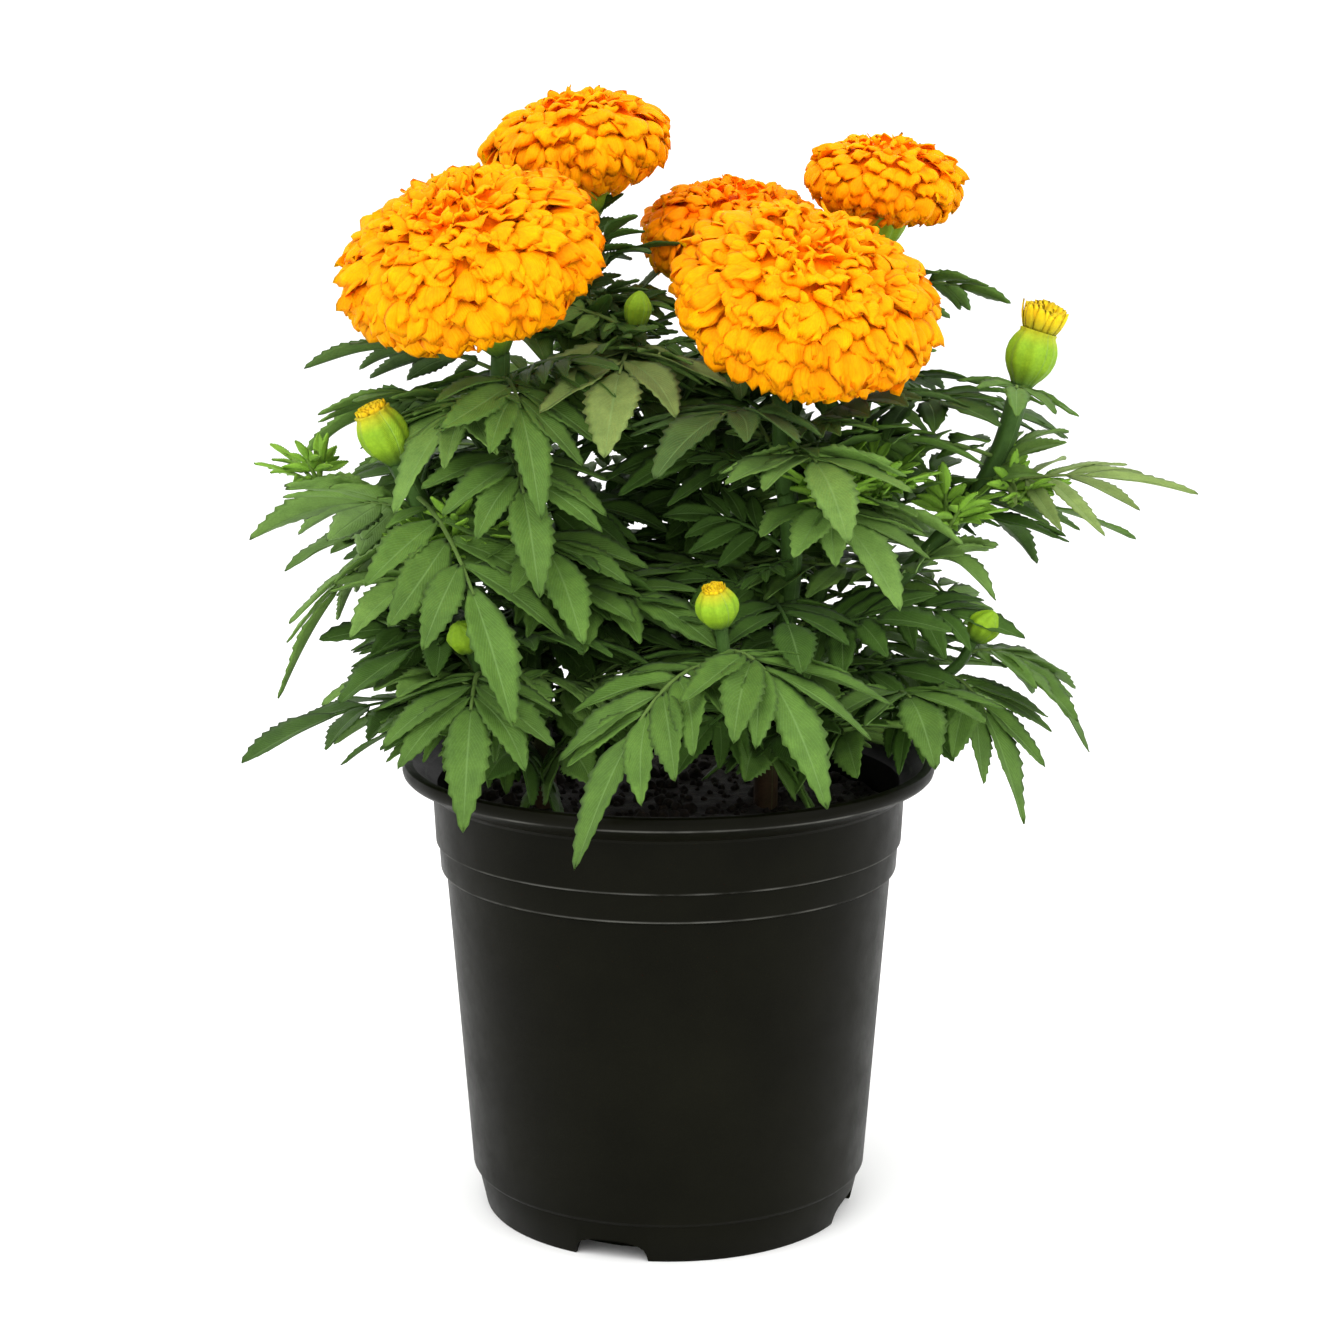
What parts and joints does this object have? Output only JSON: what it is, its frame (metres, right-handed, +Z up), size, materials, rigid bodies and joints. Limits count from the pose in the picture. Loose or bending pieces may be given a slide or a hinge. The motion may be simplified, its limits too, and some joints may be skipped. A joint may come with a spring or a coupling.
{
  "type": "potted marigold",
  "caption": "Bushy marigold with ruffled orange globe blooms, buds and toothed pinnate leaves, growing in a black plastic nursery pot.",
  "frame": {"origin": "centre of the pot's flat underside, on the surface it stands on", "axes": "+Z up, -Y towards the front of the plant, +X to its right"},
  "size_m": [0.2872, 0.2147, 0.3468],
  "materials": {
    "pot_plastic": "satin",
    "soil": "rough",
    "leaf_green": "satin",
    "petal_orange": "soft",
    "floret_yellow": "soft"
  },
  "bodies": {
    "root": {"pot": "pot_plastic", "potting_mix": "soil", "plant_left": "leaf_green", "plant_right": "leaf_green", "bloom_front_left": "petal_orange", "bloom_front_right": "petal_orange", "bloom_back_left": "petal_orange", "bloom_back_middle": "petal_orange", "bloom_back_right": "petal_orange", "bud_left_florets": "floret_yellow", "bud_right_florets": "floret_yellow", "bud_middle_florets": "floret_yellow"}
  },
  "joints": []
}
